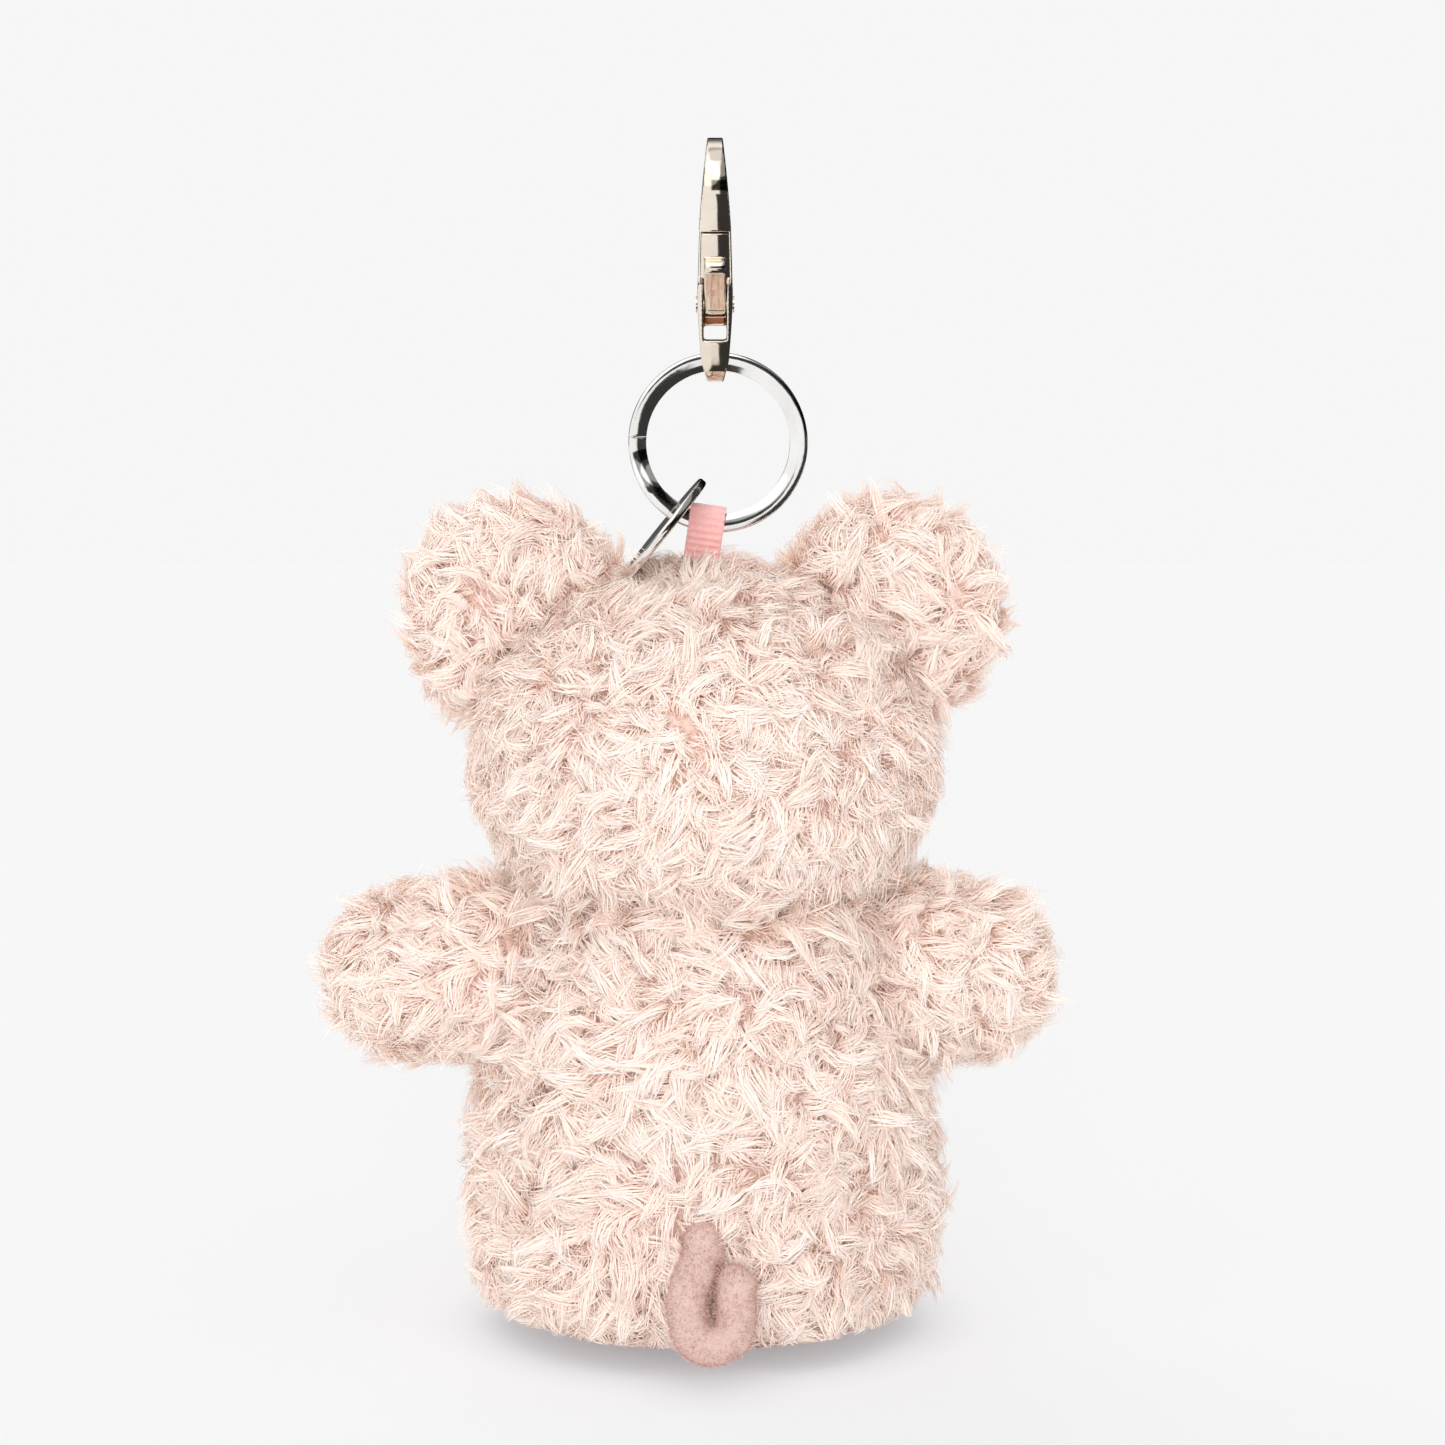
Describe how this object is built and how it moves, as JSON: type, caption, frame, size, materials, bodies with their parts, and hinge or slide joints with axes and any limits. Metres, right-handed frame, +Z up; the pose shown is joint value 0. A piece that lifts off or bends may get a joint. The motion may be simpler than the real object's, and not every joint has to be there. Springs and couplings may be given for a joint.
{
  "type": "plush keychain",
  "caption": "Seated stuffed pig charm in curly fleece, hung by a ribbon loop from a split ring with a blank disc tag and a sprung trigger clasp.",
  "frame": {"origin": "middle of the flat seat that the toy stands on", "axes": "+Z up, the face looks along -Y and the tail is at +Y, the toy's left side is +X"},
  "size_m": [0.101, 0.0831, 0.168],
  "materials": {
    "fleece": "matte",
    "filling": "matte",
    "bag_cloth": "matte",
    "velour": "matte",
    "thread": "satin",
    "bead": "gloss",
    "washer": "matte",
    "ribbon": "satin",
    "ring_nickel": "polished",
    "tag_nickel": "polished",
    "clasp_gold": "polished",
    "spring_bronze": "satin"
  },
  "bodies": {
    "plush": {"torso_cover": "fleece", "torso_filling": "filling", "pellet_bag": "bag_cloth", "head_cover": "fleece", "head_filling": "filling", "snout": "velour", "left_nostril": "thread", "right_nostril": "thread", "left_eye": "bead", "right_eye": "bead", "left_eye_washer": "washer", "right_eye_washer": "washer", "left_ear": "fleece", "right_ear": "fleece", "left_ear_lining": "velour", "right_ear_lining": "velour", "left_foot": "fleece", "right_foot": "fleece", "left_foot_sole": "velour", "right_foot_sole": "velour"},
    "left_arm": {"left_arm_cover": "fleece", "left_arm_filling": "filling"},
    "right_arm": {"right_arm_cover": "fleece", "right_arm_filling": "filling"},
    "tail": {"tail": "velour"},
    "ribbon": {"ribbon_loop": "ribbon"},
    "ring": {"key_ring": "ring_nickel"},
    "tag": {"disc_tag": "tag_nickel"},
    "clasp": {"clasp_body": "clasp_gold", "gate_pin": "clasp_gold", "gate_spring": "spring_bronze"},
    "gate": {"gate": "clasp_gold"}
  },
  "joints": [
    {"name": "left_arm_raise", "type": "hinge", "parent": "plush", "child": "left_arm", "pos_m": [0.0305, 0, 0.051], "axis": [0, -1, 0], "range_deg": [-15, 25], "stiffness_Nm_per_rad": 0.02},
    {"name": "right_arm_raise", "type": "hinge", "parent": "plush", "child": "right_arm", "pos_m": [-0.0305, 0, 0.051], "axis": [0, 1, 0], "range_deg": [-15, 25], "stiffness_Nm_per_rad": 0.02},
    {"name": "tail_lift", "type": "hinge", "parent": "plush", "child": "tail", "pos_m": [0, 0.03346, 0.0192], "axis": [1, 0, 0], "range_deg": [0, 60], "stiffness_Nm_per_rad": 0.003},
    {"name": "ribbon_swing", "type": "hinge", "parent": "plush", "child": "ribbon", "pos_m": [0.0004, 0, 0.1088], "axis": [0.9898, 0, 0.1426], "range_deg": [-7, 60]},
    {"name": "ring_turn", "type": "hinge", "parent": "ribbon", "child": "ring", "pos_m": [-0.00195, 0, 0.12508], "axis": [0, -1, 0], "range_deg": [-2, 40]},
    {"name": "tag_swing", "type": "hinge", "parent": "ring", "child": "tag", "pos_m": [0.00385, 0, 0.11543], "axis": [0.8572, 0, 0.515], "range_deg": [0, 180]},
    {"name": "clasp_swing", "type": "hinge", "parent": "ring", "child": "clasp", "pos_m": [-0.00155, 0, 0.13632], "axis": [1, 0, 0], "range_deg": [-75, 75]},
    {"name": "gate_open", "type": "hinge", "parent": "clasp", "child": "gate", "pos_m": [-0.00155, 0.0016, 0.14422], "axis": [1, 0, 0], "range_deg": [0, 28], "stiffness_Nm_per_rad": 0.02, "springref_deg": -20.05, "deforming": ["gate_spring"]}
  ]
}
